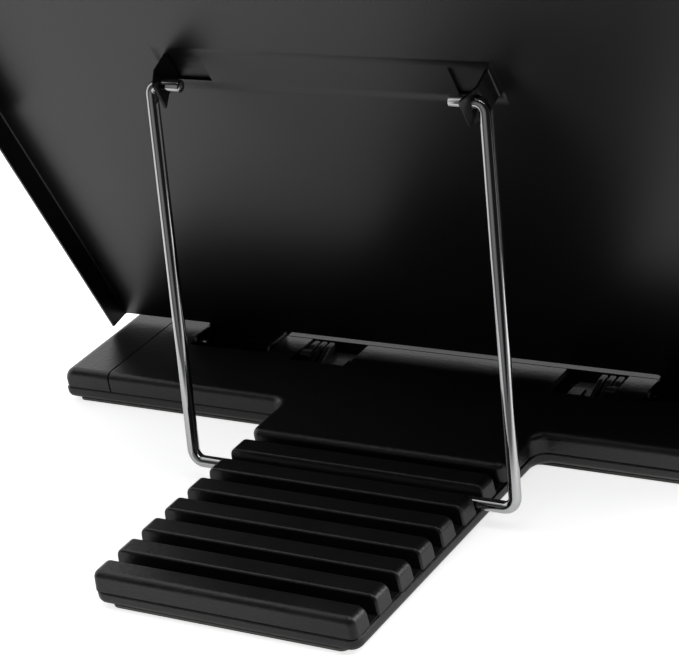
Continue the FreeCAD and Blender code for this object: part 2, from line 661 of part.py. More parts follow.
def make_copy_plate():
    half = PLATE_HALF_WIDTH
    sheet = box(-half, half, -SHEET, 0, 0, PLATE_HEIGHT)
    flange = box(half - SHEET, half, -SHEET, FLANGE_DEPTH, 0, PLATE_HEIGHT)
    plate = fuse([sheet] + both_sides(flange))
    outer_folds = [
        e for e in straight_edges(plate, Z_AXIS)
        if abs(e.Vertexes[0].Y + SHEET) < 0.01 and abs(abs(e.Vertexes[0].X) - half) < 0.01
    ]
    plate = plate.makeFillet(1.5, outer_folds)
    inner_folds = [
        e for e in straight_edges(plate, Z_AXIS)
        if abs(e.Vertexes[0].Y) < 0.01 and abs(abs(e.Vertexes[0].X) - half + SHEET) < 0.01
    ]
    plate = plate.makeFillet(0.7, inner_folds)
    free = FLANGE_DEPTH + 1
    foot_trim = prism_x([(0.5, -1), (0.5, 0.1), (free, 1.9), (free, -1)], half - 3, half + 1)
    head_trim = prism_x(
        [(1.0, PLATE_HEIGHT + 1), (free, PLATE_HEIGHT + 1), (free, PLATE_HEIGHT - 8)],
        half - 3, half + 1,
    )
    added, taken = make_channel()
    tab = box(TAB_INNER_X, TAB_OUTER_X, -SHEET, 0, -TAB_DROP, 1)
    tab_ends = [e for e in straight_edges(tab, Y_AXIS) if e.Vertexes[0].Z < 0]
    tab = tab.makeFillet(1.0, tab_ends)
    webs = both_sides(make_tab_root())
    inner_ear = make_hinge_ear()
    outer_ear = inner_ear.copy()
    outer_ear.translate(Vector(TAB_OUTER_X - TAB_INNER_X - SHEET, 0, 0))
    ears = both_sides(inner_ear) + both_sides(outer_ear)
    plate = fuse([plate, added] + both_sides(tab) + webs + ears)
    window = box(WINDOW_INNER_X, WINDOW_OUTER_X, -5, 5, WINDOW_LOW_S, WINDOW_HIGH_S)
    plate = cut(plate, [taken] + both_sides(window) + both_sides(foot_trim) + both_sides(head_trim))
    plate = fuse([plate] + both_sides(make_bracket_tab()))
    roots = []
    for edge in straight_edges(plate, Z_AXIS):
        end = edge.Vertexes[0]
        at_root = abs(end.Y + CHANNEL_DEPTH) < 0.01 and abs(abs(end.X) - WINDOW_OUTER_X) < 0.01
        if at_root and edge.Length > 8:
            roots.append(edge)
    plate = plate.makeFillet(0.6, roots)
    wire_hole = rod_x(
        WINDOW_INNER_X, WINDOW_OUTER_X + 1, PIVOT_OFFSET, PIVOT_S, WIRE_RADIUS + RUNNING_CLEARANCE
    )
    pin_hole = rod_x(
        TAB_INNER_X - 1, TAB_OUTER_X + 1, HINGE_OFFSET, HINGE_S, PIN_RADIUS + RUNNING_CLEARANCE
    )
    return on_plate(cut(plate, both_sides(wire_hole) + both_sides(pin_hole)))


# ---------------------------------------------------------------- wire bail
def rounded_path(corners, radii):
    """Straight runs through the corners, each inner corner rounded to its radius."""
    edges = []
    start = corners[0]
    for index in range(1, len(corners) - 1):
        corner = corners[index]
        back = (corners[index - 1] - corner).normalize()
        ahead = (corners[index + 1] - corner).normalize()
        half_angle = math.acos(max(-1.0, min(1.0, back.dot(ahead)))) / 2
        reach = radii[index - 1] / math.tan(half_angle)
        arc_start = corner + back * reach
        arc_end = corner + ahead * reach
        towards_centre = (back + ahead).normalize()
        centre = corner + towards_centre * (radii[index - 1] / math.sin(half_angle))
        arc_middle = centre - towards_centre * radii[index - 1]
        edges.append(Part.LineSegment(start, arc_start).toShape())
        edges.append(Part.Arc(arc_start, arc_middle, arc_end).toShape())
        start = arc_end
    edges.append(Part.LineSegment(start, corners[-1]).toShape())
    return Part.Wire(edges)


def foot_place():
    """Y and Z of the bail's foot, resting in its groove against the rib behind it."""
    front_of_rib = rib_rear_y(FOOT_GROOVE) - RIB_BASE_LENGTH
    return front_of_rib - WIRE_RADIUS - 0.1, GROOVE_FLOOR_Z + WIRE_RADIUS + 0.05


def make_wire_bail():
    foot_y, foot_z = foot_place()
    corners = [
        Vector(-BAIL_END_X, PIVOT_Y, PIVOT_Z), Vector(-BAIL_HALF_WIDTH, PIVOT_Y, PIVOT_Z),
        Vector(-BAIL_HALF_WIDTH, foot_y, foot_z), Vector(BAIL_HALF_WIDTH, foot_y, foot_z),
        Vector(BAIL_HALF_WIDTH, PIVOT_Y, PIVOT_Z), Vector(BAIL_END_X, PIVOT_Y, PIVOT_Z),
    ]
    path = rounded_path(corners, [BAIL_TOP_BEND, BAIL_FOOT_BEND, BAIL_FOOT_BEND, BAIL_TOP_BEND])
    section = Part.Wire(Part.makeCircle(WIRE_RADIUS, corners[0], X_AXIS))
    return path.makePipeShell([section], True, False)


# ---------------------------------------------------------------- line guide
def make_guide_bar():
    lens_top = GUIDE_LOW_S + 3.2
    slot_back = GUIDE_BACK_B - 0.15
    slot_front = slot_back - LENS_THICKNESS - 0.1
    profile = [
        (GUIDE_BACK_B, GUIDE_LOW_S), (GUIDE_BACK_B, GUIDE_HIGH_S), (GUIDE_FRONT_B + 1.4, GUIDE_HIGH_S),
        (GUIDE_FRONT_B, GUIDE_HIGH_S - 1.4), (GUIDE_FRONT_B, GUIDE_LOW_S + 1.2),
        (GUIDE_FRONT_B + 1.2, GUIDE_LOW_S), (slot_front, GUIDE_LOW_S), (slot_front, lens_top),
        (slot_back, lens_top), (slot_back, GUIDE_LOW_S),
    ]
    bar = prism_x(profile, -GUIDE_HALF_LENGTH, GUIDE_HALF_LENGTH)
    groove_floor = GUIDE_FRONT_B + 0.8
    finger_groove = prism_x(
        [(GUIDE_FRONT_B - 1, 127), (groove_floor, 128.5), (groove_floor, 131), (GUIDE_FRONT_B - 1, 132.5)],
        -110, 110,
    )
    bar = cut(bar, [finger_groove])
    holes = [rod_y(GUIDE_FRONT_B - 1, -2.9, x, s, 1.05) for x, s in guide_screw_places()]
    return on_plate(cut(bar, holes))


def guide_screw_places():
    return [(x, s) for x in (-126.5, 126.5) for s in (124.0, 133.0)]


def make_guide_lens():
    back = GUIDE_BACK_B - 0.2
    front = back - LENS_THICKNESS
    lens = box(-GUIDE_HALF_LENGTH, GUIDE_HALF_LENGTH, front, back, LENS_LOW_S, GUIDE_LOW_S + 3.0)
    lower_edges = [e for e in straight_edges(lens, X_AXIS) if e.Vertexes[0].Z < LENS_LOW_S + 0.1]
    lens = lens.makeFillet(0.4, lower_edges)
    line_s = LENS_LOW_S + 5
    reading_line = prism_x(
        [(front - 0.1, line_s - 0.4), (front + 0.3, line_s), (front - 0.1, line_s + 0.4)], -140, 140
    )
    return on_plate(cut(lens, [reading_line]))


def make_right_carriage():
    """Runner that wraps round the folded side of the plate."""
    outer = CARRIAGE_OUTER_X
    low = CARRIAGE_LOW_S
    high = CARRIAGE_HIGH_S
    block = box(GUIDE_HALF_LENGTH + 0.2, outer, GUIDE_FRONT_B, FLANGE_DEPTH + 2.6, low, high)
    upright = [e for e in straight_edges(block, Z_AXIS) if e.Vertexes[0].X > outer - 0.01]
    block = block.makeFillet(1.6, upright)
    inner = GUIDE_HALF_LENGTH - 1
    ahead = -SHEET - 0.5
    channel = box(inner, PLATE_HALF_WIDTH + 0.4, ahead, FLANGE_DEPTH + 0.5, low - 1, high + 1)
    rear_gap = box(inner, 140.4, ahead, FLANGE_DEPTH + 5, low - 1, high + 1)
    tongue_front = GUIDE_FRONT_B - 1.2
    tongue = box(121.8, GUIDE_HALF_LENGTH + 3, tongue_front, GUIDE_FRONT_B - 0.05, 121.0, 135.6)
    tongue_corners = [e for e in straight_edges(tongue, Y_AXIS) if e.Vertexes[0].X < 122]
    tongue = tongue.makeFillet(2.0, tongue_corners)
    nose = box(
        GUIDE_HALF_LENGTH + 0.2, GUIDE_HALF_LENGTH + 3, tongue_front, GUIDE_FRONT_B + 0.5, 121.0, 135.6
    )
    ridges = []
    for count in range(6):
        s = low + 8 + 4.0 * count
        ridges.append(box(outer - 0.5, outer + 0.8, -1.5, 6.5, s - 0.7, s + 0.7))
    spring_seat = box(PLATE_HALF_WIDTH + 0.2, PLATE_HALF_WIDTH + 1.9, 0.6, 6.9, low + 5, high - 5)
    places = [(x, s) for x, s in guide_screw_places() if x > 0]
    holes = [rod_y(GUIDE_FRONT_B - 2, GUIDE_FRONT_B, x, s, 1.15) for x, s in places]
    body = cut(fuse([block, tongue, nose] + ridges), [channel, rear_gap, spring_seat] + holes)
    return on_plate(body)


def make_right_guide_spring():
    """Bowed leaf that presses on the folded side of the plate."""
    flat_x = PLATE_HALF_WIDTH + 1.75
    crown_x = PLATE_HALF_WIDTH + 0.45
    low = CARRIAGE_LOW_S + 5.4
    high = CARRIAGE_HIGH_S - 5.4
    middle = (low + high) / 2
    thickness = 0.3
    outer_low = Vector(flat_x, 0, low)
    outer_high = Vector(flat_x, 0, high)
    inner_low = Vector(flat_x - thickness, 0, low)
    inner_high = Vector(flat_x - thickness, 0, high)
    outer = Part.Arc(outer_low, Vector(crown_x, 0, middle), outer_high).toShape()
    inner = Part.Arc(inner_high, Vector(crown_x - thickness, 0, middle), inner_low).toShape()
    close_high = Part.LineSegment(outer_high, inner_high).toShape()
    close_low = Part.LineSegment(inner_low, outer_low).toShape()
    face = Part.Face(Part.Wire([outer, close_high, inner, close_low]))
    leaf = face.extrude(Vector(0, 5.0, 0))
    leaf.translate(Vector(0, 1.3, 0))
    return on_plate(leaf)


def make_guide_screws():
    screws = []
    head_back = GUIDE_FRONT_B - 1.2
    for x, s in guide_screw_places():
        head = rod_y(head_back - 1.0, head_back, x, s, 2.0)
        rim = [e for e in head.Edges if abs(e.BoundBox.YMax - head_back + 1.0) < 1e-4]
        head = head.makeFillet(0.45, rim)
        shank = rod_y(head_back, -3.1, x, s, 1.0)
        slots = [
            box(x - 1.2, x + 1.2, head_back - 1.1, head_back - 0.5, s - 0.25, s + 0.25),
            box(x - 0.25, x + 0.25, head_back - 1.1, head_back - 0.5, s - 1.2, s + 1.2),
        ]
        screws.append(on_plate(cut(fuse([head, shank]), slots)))
    return Part.makeCompound(screws)


# ---------------------------------------------------------------- whole holder
def make_all():
    upper_block = make_upper_block()
    cavity = make_upper_cavity()
    right_cap = make_right_end_cap(upper_block, cavity)
    stub = make_right_pivot_stub()
    pin = make_right_release_pin()
    slide = make_right_release_slide()
    spring = make_right_release_spring()
    carriage = make_right_carriage()
    leaf = make_right_guide_spring()
    return {
        "base_shell": make_base_shell(),
        "base_cover": make_base_cover(upper_block, cavity),
        "right_end_cap": right_cap,
        "left_end_cap": mirror(right_cap),
        "document_ledge": make_document_ledge(upper_block, cavity),
        "base_pad": make_base_pad(),
        "cover_screws": make_screws(COVER_SCREW_PLACES),
        "end_cap_screws": make_screws(END_CAP_SCREW_PLACES),
        "ledge_screws": make_screws(LEDGE_SCREW_PLACES),
        "right_pivot_stub": stub,
        "left_pivot_stub": mirror(stub),
        "right_release_pin": pin,
        "left_release_pin": mirror(pin),
        "right_release_slide": slide,
        "left_release_slide": mirror(slide),
        "right_release_spring": spring,
        "left_release_spring": mirror(spring),
        "copy_plate": make_copy_plate(),
        "wire_bail": make_wire_bail(),
        "guide_bar": make_guide_bar(),
        "guide_lens": make_guide_lens(),
        "right_guide_carriage": carriage,
        "left_guide_carriage": mirror(carriage),
        "right_guide_spring": leaf,
        "left_guide_spring": mirror(leaf),
        "guide_screws": make_guide_screws(),
    }


os.makedirs("parts", exist_ok=True)
for node_name, node_shape in make_all().items():
    solids = node_shape.Solids
    bounds = node_shape.BoundBox
    print(
        node_name, "solids", len(solids), "valid", node_shape.isValid(),
        "volume", round(node_shape.Volume, 2), "x", round(bounds.XMin, 2), round(bounds.XMax, 2),
        "y", round(bounds.YMin, 2), round(bounds.YMax, 2),
        "z", round(bounds.ZMin, 2), round(bounds.ZMax, 2),
    )
    node_shape.exportStep("parts/" + node_name + ".step")
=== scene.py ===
"""Copy holder with line guide: finishes, fine pieces and studio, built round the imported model."""

import math

import bmesh
import bpy
from bpy.props import FloatProperty, FloatVectorProperty, PointerProperty
from mathutils import Euler, Matrix, Vector


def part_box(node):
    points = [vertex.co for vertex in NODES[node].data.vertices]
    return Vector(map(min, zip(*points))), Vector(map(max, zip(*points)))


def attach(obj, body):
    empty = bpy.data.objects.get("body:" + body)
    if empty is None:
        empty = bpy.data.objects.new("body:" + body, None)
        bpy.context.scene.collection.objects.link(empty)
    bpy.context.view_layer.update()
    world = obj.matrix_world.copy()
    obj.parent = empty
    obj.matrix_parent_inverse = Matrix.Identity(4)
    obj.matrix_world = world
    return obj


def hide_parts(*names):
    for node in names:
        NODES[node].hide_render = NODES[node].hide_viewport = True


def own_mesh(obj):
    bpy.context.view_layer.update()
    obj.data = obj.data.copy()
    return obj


bl_info = {
    "name": "Copy Holder",
    "version": (1, 0, 0),
    "blender": (4, 5, 0),
    "location": "View3D > Sidebar > Copy Holder",
    "description": "Dresses the packed copy holder, models its fine pieces and sets up the studio",
    "category": "Object",
}

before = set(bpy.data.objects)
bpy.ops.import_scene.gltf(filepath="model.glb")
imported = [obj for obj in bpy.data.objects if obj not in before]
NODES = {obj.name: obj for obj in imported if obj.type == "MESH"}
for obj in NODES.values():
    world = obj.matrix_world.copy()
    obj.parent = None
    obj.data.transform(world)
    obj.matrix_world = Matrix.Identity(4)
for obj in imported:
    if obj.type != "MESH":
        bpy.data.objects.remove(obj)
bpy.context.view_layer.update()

X = Vector((1, 0, 0))

# The plate's lower edge, and the directions out of its back and up along it, in metres.
PLATE_TILT = math.radians(22.2)
PLATE_EDGE = Vector((0, -0.06163, 0.01475))
PLATE_BACK = Vector((0, math.cos(PLATE_TILT), -math.sin(PLATE_TILT)))
PLATE_UP = Vector((0, math.sin(PLATE_TILT), math.cos(PLATE_TILT)))

# The bail wire's centre line in the holder's middle plane: at its pivots and in its groove.
PIVOT = PLATE_EDGE + PLATE_BACK * 0.00842 + PLATE_UP * 0.1305
FOOT = Vector((0, 0.01516, 0.00785))

# Bail wire. Each rounding step is a length along X and a share of the wire's thickness.
WIRE_INNER_END = 0.0488
WIRE_SIDES = 28
BEND_STEPS = 12
LEG_PARTS = 10
FOOT_PARTS = 6
END_ROUNDING = ((0.0002, 0.93), (0.0002, 0.82), (0.00012, 0.6))
MIRROR_GAP = 0.00001
SAME_PLACE = 0.000001

# Coil springs behind the release slides.
COIL_WIRE_RADIUS = 0.00022
COIL_WIRE_SIDES = 10
COIL_TURNS = 8
COIL_STEPS = 24

# Carried-over nodes: gap that is welded, sharpest edge that stays smooth, weight of flat faces.
WELD_GAP = 0.000004
CREASE_DEGREES = 32
FLAT_WEIGHT = 100

# Studio, in metres. The floor reaches further behind the holder than towards the camera.
FLOOR_SIZE = 8
FLOOR_NEAR_EDGE = 0.24
TOWARDS_CAMERA = Vector((-0.593, 0.805, 0))
CAMERA_PLACE = (-0.42377, 0.57515, 0.39404)
CAMERA_TURN = (64.2574, 10.0312, -148.2187)
SENSOR_WIDTH = 36
LAMP_AIM = Vector((0, 0, 0.05))
LAMPS = (
    # name, place, side of the square, watts
    ("overhead_softbox", (-0.36, -0.12, 1.05), 1.0, 5.6),
    ("side_softbox", (-0.78, -0.66, 0.42), 0.6, 6.0),
)
WHITE = (1, 1, 1, 1)


# ---------------------------------------------------------------- settings
class CopyHolderPlastic(bpy.types.PropertyGroup):
    colour: FloatVectorProperty(
        name="Moulding colour", description="Colour of the moulded base", subtype="COLOR",
        default=(0.0042, 0.0042, 0.0044), min=0, max=1,
    )
    roughness: FloatProperty(
        name="Moulding roughness", description="Base roughness of the moulded plastic",
        default=0.34, min=0, max=1,
    )
    grain: FloatProperty(
        name="Grain size", description="Size of the fine spark-eroded grain", unit="LENGTH",
        default=0.0005, min=0.0001, max=0.01,
    )
    pad_colour: FloatVectorProperty(
        name="Pad colour", description="Colour of the non-slip pad", subtype="COLOR",
        default=(0.36, 0.355, 0.34), min=0, max=1,
    )


class CopyHolderMetal(bpy.types.PropertyGroup):
    enamel: FloatVectorProperty(
        name="Enamel colour", description="Colour of the plate's enamel", subtype="COLOR",
        default=(0.0040, 0.0040, 0.0042), min=0, max=1,
    )
    enamel_roughness: FloatProperty(
        name="Enamel roughness", description="Roughness of the satin enamel",
        default=0.34, min=0, max=1,
    )
    plating: FloatVectorProperty(
        name="Plating colour", description="Colour of the bright plated wire", subtype="COLOR",
        default=(0.56, 0.56, 0.57), min=0, max=1,
    )
    wire_radius: FloatProperty(
        name="Wire radius", description="Half the thickness of the bail wire", unit="LENGTH",
        default=0.002, min=0.001, max=0.004,
    )
    top_bend: FloatProperty(
        name="Top bend", description="Centre-line radius of the bends at the pivots",
        unit="LENGTH", default=0.0029, min=0.0025, max=0.01,
    )
    foot_bend: FloatProperty(
        name="Foot bend", description="Centre-line radius of the bends at the foot",
        unit="LENGTH", default=0.004, min=0.0025, max=0.01,
    )


class CopyHolderStudio(bpy.types.PropertyGroup):
    lens: FloatProperty(
        name="Lens", description="Focal length on a 36 mm wide frame, in millimetres",
        default=134.56, min=10, max=400,
    )
    floor_colour: FloatVectorProperty(
        name="Floor colour", description="Colour of the plain floor", subtype="COLOR",
        default=(0.86, 0.86, 0.86), min=0, max=1,
    )


# ---------------------------------------------------------------- small tools
def deselect_all():
    """Leave edit mode, with nothing selected."""
    if bpy.context.object and bpy.context.object.mode != "OBJECT":
        bpy.ops.object.mode_set(mode="OBJECT")
    bpy.ops.object.select_all(action="DESELECT")


def start_piece(name):
    """Name the primitive that was just added and open it in edit mode."""
    piece = bpy.context.object
    piece.name = name
    piece.data.name = name
    bpy.ops.object.mode_set(mode="EDIT")
    return piece


def apply_modifiers(piece):
    bpy.context.view_layer.objects.active = piece
    for modifier in list(piece.modifiers):
        bpy.ops.object.modifier_apply(modifier=modifier.name)


def settle(piece, body, material, replaced, crease):
    """Finish a new piece: origin at the frame's origin, smooth faces, material, body."""
    deselect_all()
    piece.select_set(True)
    apply_modifiers(piece)
    bpy.ops.object.transform_apply(location=True, rotation=True, scale=True)
    bpy.ops.object.shade_smooth_by_angle(angle=math.radians(crease))
    piece.data.materials.clear()
    piece.data.materials.append(material)
    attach(piece, body)
    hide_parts(replaced)


def dress(node, material):
    """Give a carried-over node its finish, with smooth shading inside creases."""
    item = NODES[node]
    item.data.materials.clear()
    item.data.materials.append(material)
    for polygon in item.data.polygons:
        polygon.material_index = 0
        polygon.use_smooth = True
    weld = item.modifiers.new("Weld", "WELD")
    weld.merge_threshold = WELD_GAP
    split = item.modifiers.new("Crease", "EDGE_SPLIT")
    split.split_angle = math.radians(CREASE_DEGREES)
    split.use_edge_sharp = False
    level = item.modifiers.new("Level flats", "WEIGHTED_NORMAL")
    level.mode = "FACE_AREA"
    level.weight = FLAT_WEIGHT
    level.keep_sharp = True


# ---------------------------------------------------------------- node trees
class Nodes:
    """Shortcuts for building a node tree."""

    def __init__(self, tree):
        self.tree = tree
        tree.nodes.clear()

    def add(self, kind, **values):
        node = self.tree.nodes.new(kind)
        for key, value in values.items():
            setattr(node, key, value)
        return node

    def link(self, out, into):
        self.tree.links.new(out, into)

    def feed(self, value, socket):
        """Give a socket a number, or link another socket to it."""
        if isinstance(value, (int, float)):
            socket.default_value = value
        else:
            self.link(value, socket)

    def maths(self, operation, first, second):
        node = self.add("ShaderNodeMath", operation=operation)
        self.feed(first, node.inputs[0])
        self.feed(second, node.inputs[1])
        return node.outputs[0]

    def ranged(self, value, low, high, to_low, to_high, smooth=False):
        """The value, with one range carried over to another."""
        node = self.add("ShaderNodeMapRange")
        if smooth:
            node.interpolation_type = "SMOOTHSTEP"
        node.inputs["From Min"].default_value = low
        node.inputs["From Max"].default_value = high
        node.inputs["To Min"].default_value = to_low
        node.inputs["To Max"].default_value = to_high
        self.link(value, node.inputs["Value"])
        return node.outputs["Result"]

    def lit(self, kind, strength):
        """A white emission or background of this strength."""
        node = self.add(kind)
        node.inputs["Color"].default_value = WHITE
        self.feed(strength, node.inputs["Strength"])
        return node.outputs[0]

    def summed(self, first, second):
        node = self.add("ShaderNodeAddShader")
        self.link(first, node.inputs[0])
        self.link(second, node.inputs[1])
        return node.outputs[0]

    def blended(self, factor, first, second):
        node = self.add("ShaderNodeMixShader")
        for socket, out in zip(node.inputs, (factor, first, second)):
            self.link(out, socket)
        return node.outputs[0]

    def rays(self):
        """Factors for rays that see a thing direct or through clear plastic, and mirrored."""
        path = self.add("ShaderNodeLightPath").outputs
        direct = self.maths("MAXIMUM", path["Is Camera Ray"], path["Is Transmission Ray"])
        return direct, path["Is Glossy Ray"]


class Finish(Nodes):
    """A node material with a Principled shader on Object coordinates."""

    def __init__(self, name):
        self.material = bpy.data.materials.new(name)
        self.material.use_nodes = True
        super().__init__(self.material.node_tree)
        self.output = self.add("ShaderNodeOutputMaterial")
        self.shader = self.add("ShaderNodeBsdfPrincipled")
        self.link(self.shader.outputs[0], self.output.inputs["Surface"])
        self.place = self.add("ShaderNodeTexCoord").outputs["Object"]

    def set(self, **values):
        for key, value in values.items():
            self.shader.inputs[key.replace("_", " ")].default_value = value

    def to(self, out, socket):
        self.link(out, self.shader.inputs[socket])

    def stretched(self, scale):
        mapping = self.add("ShaderNodeMapping")
        mapping.inputs["Scale"].default_value = scale
        self.link(self.place, mapping.inputs["Vector"])
        return mapping.outputs["Vector"]

    def noise(self, scale, detail=3, roughness=0.55, vector=None):
        node = self.add("ShaderNodeTexNoise")
        node.inputs["Scale"].default_value = scale
        node.inputs["Detail"].default_value = detail
        node.inputs["Roughness"].default_value = roughness
        self.link(vector or self.place, node.inputs["Vector"])
        return node.outputs["Fac"]

    def mixed(self, factor, first, second):
        node = self.add("ShaderNodeMix", data_type="RGBA")
        node.inputs["A"].default_value = (*first, 1)
        node.inputs["B"].default_value = (*second, 1)
        self.link(factor, node.inputs["Factor"])
        return node.outputs["Result"]

    def bump(self, height, strength, distance, normal=None):
        node = self.add("ShaderNodeBump")
        node.inputs["Strength"].default_value = strength
        node.inputs["Distance"].default_value = distance
        self.link(height, node.inputs["Height"])
        if normal:
            self.link(normal, node.inputs["Normal"])
        return node.outputs["Normal"]


# ---------------------------------------------------------------- materials
def lighter(colour, factor):
    return tuple(min(1.0, c * factor) for c in colour)


def moulded_plastic(name, colour, roughness, grain, gloss=0.54):
    """Black moulding with a fine spark-eroded grain over a faint mottle drawn out along X."""
    made = Finish(name)
    made.set(IOR=1.5, Specular_IOR_Level=gloss)
    cloud = made.noise(28, 3)
    shade = made.ranged(cloud, 0.35, 0.7, 0, 1)
    made.to(made.mixed(shade, colour, lighter(colour, 1.35)), "Base Color")
    fine = made.noise(1 / grain, 2, 0.6)
    mottle = made.noise(0.55 / grain, 3, 0.65, made.stretched((0.45, 1, 1)))
    broad = made.maths("MULTIPLY", cloud, 0.6)
    uneven = made.maths("ADD", broad, made.maths("MULTIPLY", mottle, 0.4))
    made.to(made.ranged(uneven, 0.3, 0.7, roughness - 0.06, roughness + 0.07), "Roughness")
    made.to(made.bump(fine, 0.22, 0.00006, made.bump(mottle, 0.5, 0.00025)), "Normal")
    return made.material


def satin_enamel(name, colour, roughness):
    """Sprayed satin enamel: a soft orange peel over flat sheet steel."""
    made = Finish(name)
    made.set(IOR=1.5, Specular_IOR_Level=0.62)
    peel = made.noise(620, 2, 0.5)
    wave = made.noise(9, 2)
    shade = made.ranged(wave, 0.35, 0.65, 0, 1)
    made.to(made.mixed(shade, colour, lighter(colour, 1.25)), "Base Color")
    made.to(made.ranged(wave, 0.3, 0.7, roughness - 0.025, roughness + 0.03), "Roughness")
    made.to(made.bump(peel, 0.12, 0.00004), "Normal")
    return made.material


def bright_plating(name, colour, roughness=0.05):
    """Bright plated drawn wire, with a little haze and a very fine grain."""
    made = Finish(name)
    made.set(Metallic=1.0, Base_Color=(*colour, 1))
    haze = made.noise(160, 3)
    fine = made.noise(2600, 2)
    made.to(made.ranged(haze, 0.3, 0.7, roughness - 0.02, roughness + 0.03), "Roughness")
    made.to(made.bump(fine, 0.05, 0.00002), "Normal")
    return made.material


def turned_steel(name, colour, roughness):
    """Small turned or rolled steel parts, with rings across X."""
    made = Finish(name)
    made.set(Metallic=1.0, Base_Color=(*colour, 1))
    rings = made.noise(1, 2, 0.6, made.stretched((9000, 500, 500)))
    made.to(made.ranged(rings, 0.3, 0.7, roughness - 0.05, roughness + 0.08), "Roughness")
    made.to(made.bump(rings, 0.12, 0.00002), "Normal")
    return made.material


def foam_rubber(name, colour):
    """Pale cellular rubber of the non-slip pad."""
    made = Finish(name)
    made.set(IOR=1.45)
    cells = made.noise(1500, 3, 0.7)
    shade = made.ranged(made.noise(45, 3), 0.35, 0.7, 0, 1)
    made.to(made.mixed(shade, lighter(colour, 0.86), colour), "Base Color")
    made.to(made.ranged(cells, 0.3, 0.7, 0.78, 0.95), "Roughness")
    made.to(made.bump(cells, 0.5, 0.00015), "Normal")
    return made.material


def clear_acrylic(name):
    """Clear strip of the line guide, with a slight haze."""
    made = Finish(name)
    made.set(IOR=1.49, Transmission_Weight=1.0, Base_Color=(0.97, 0.985, 0.98, 1))
    made.to(made.ranged(made.noise(60, 3), 0.3, 0.7, 0.015, 0.05), "Roughness")
    return made.material


FINISHES = {}


def finish(name):
    """The named finish, made once from the scene's settings."""
    if name in FINISHES:
        return FINISHES[name]
    plastic = bpy.context.scene.copy_holder_plastic
    metal = bpy.context.scene.copy_holder_metal
    black = tuple(plastic.colour)
    grain = plastic.grain
    makers = {
        "moulding": lambda: moulded_plastic(name, black, plastic.roughness, grain),
        "slide_moulding": lambda: moulded_plastic(
            name, lighter(black, 1.15), 0.42, grain * 0.8, gloss=0.36,
        ),
        "guide_moulding": lambda: moulded_plastic(name, lighter(black, 1.3), 0.45, grain * 1.2),
        "enamel": lambda: satin_enamel(name, tuple(metal.enamel), metal.enamel_roughness),
        "plating": lambda: bright_plating(name, tuple(metal.plating)),
        "pin_steel": lambda: turned_steel(name, (0.58, 0.58, 0.59), 0.14),
        "black_steel": lambda: turned_steel(name, (0.03, 0.03, 0.032), 0.3),
        "screw_zinc": lambda: turned_steel(name, (0.5, 0.5, 0.52), 0.34),
        "spring_steel": lambda: turned_steel(name, (0.42, 0.42, 0.44), 0.28),
        "pad_rubber": lambda: foam_rubber(name, tuple(plastic.pad_colour)),
        "clear_strip": lambda: clear_acrylic(name),
    }
    FINISHES[name] = makers[name]()
    return FINISHES[name]


# ---------------------------------------------------------------- carried-over pieces
class COPYHOLDER_OT_base(bpy.types.Operator):
    """Finish the ribbed cover, the lower shell, the end caps, the ledge and the pad"""

    bl_idname = "copyholder.base"
    bl_label = "Base"

    def execute(self, context):
        for node in ("base_cover", "base_shell", "left_end_cap", "right_end_cap", "document_ledge"):
            dress(node, finish("moulding"))
        dress("base_pad", finish("pad_rubber"))
        return {"FINISHED"}


class COPYHOLDER_OT_plate(bpy.types.Operator):
    """Finish the folded steel plate"""

    bl_idname = "copyholder.plate"
    bl_label = "Copy plate"

    def execute(self, context):
        dress("copy_plate", finish("enamel"))
        return {"FINISHED"}


class COPYHOLDER_OT_pivots(bpy.types.Operator):
    """Finish the hinge pins, the release slides and the screws of the base"""

    bl_idname = "copyholder.pivots"
    bl_label = "Pivots and slides"

    def execute(self, context):
        for side in ("left", "right"):
            dress(side + "_pivot_stub", finish("pin_steel"))
            dress(side + "_release_pin", finish("black_steel"))
            dress(side + "_release_slide", finish("slide_moulding"))
        for node in ("cover_screws", "end_cap_screws", "ledge_screws"):
            dress(node, finish("screw_zinc"))
        return {"FINISHED"}


class COPYHOLDER_OT_line_guide(bpy.types.Operator):
    """Finish the line guide's bar, strip, runners, springs and screws"""

    bl_idname = "copyholder.line_guide"
    bl_label = "Line guide"

    def execute(self, context):
        dress("guide_bar", finish("guide_moulding"))
        dress("guide_lens", finish("clear_strip"))
        dress("guide_screws", finish("screw_zinc"))
        for side in ("left", "right"):
            dress(side + "_guide_carriage", finish("guide_moulding"))
            dress(side + "_guide_spring", finish("spring_steel"))
        return {"FINISHED"}


